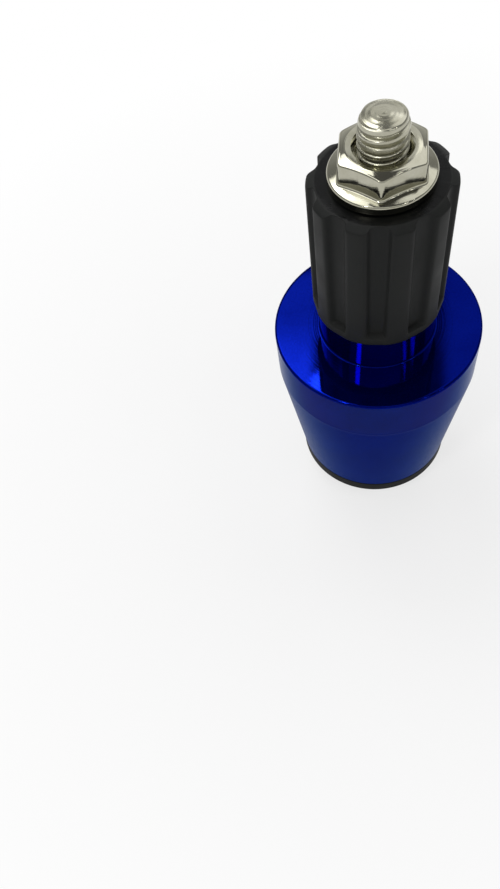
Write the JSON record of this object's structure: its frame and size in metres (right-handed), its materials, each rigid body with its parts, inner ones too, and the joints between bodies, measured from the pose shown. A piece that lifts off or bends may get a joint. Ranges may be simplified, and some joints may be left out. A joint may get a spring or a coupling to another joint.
{
  "type": "bar end weight",
  "caption": "Turned metal weight for a handlebar end: shouldered blue body, domed black cap, and a fluted rubber plug that a through bolt and flange nut squeeze to grip the tube's bore.",
  "frame": {"origin": "centre of the shoulder face that bears on the end of the handlebar tube", "axes": "+Z along the bolt's axis, into the tube, towards the nut; +X to the right when a flute and a corner of the nut face the viewer"},
  "size_m": [0.03, 0.03, 0.0704],
  "materials": {
    "blue_anodised": "turned and anodised deep blue",
    "black_anodised": "polished dome and satin rim, anodised black",
    "zinc_steel": "bright zinc plate",
    "black_rubber": "moulded, matte"
  },
  "bodies": {
    "weight": {"weight_body": "blue_anodised", "end_cap": "black_anodised", "rubber_expander": "black_rubber"},
    "bolt": {"clamp_bolt": "zinc_steel"},
    "nut": {"flange_nut": "zinc_steel"}
  },
  "joints": [
    {"name": "bolt_turn", "type": "hinge", "parent": "weight", "child": "bolt", "pos_m": [0, 0, 0], "axis": [0, 0, 1], "range_deg": [0, 1440]},
    {"name": "nut_travel", "type": "slide", "parent": "weight", "child": "nut", "axis": [0, 0, -1], "range_m": [0, 0.004], "deforming": ["rubber_expander"]}
  ],
  "couplings": [
    {"joint": "nut_travel", "follows": "bolt_turn", "m_per_rad": 0.00015915}
  ]
}
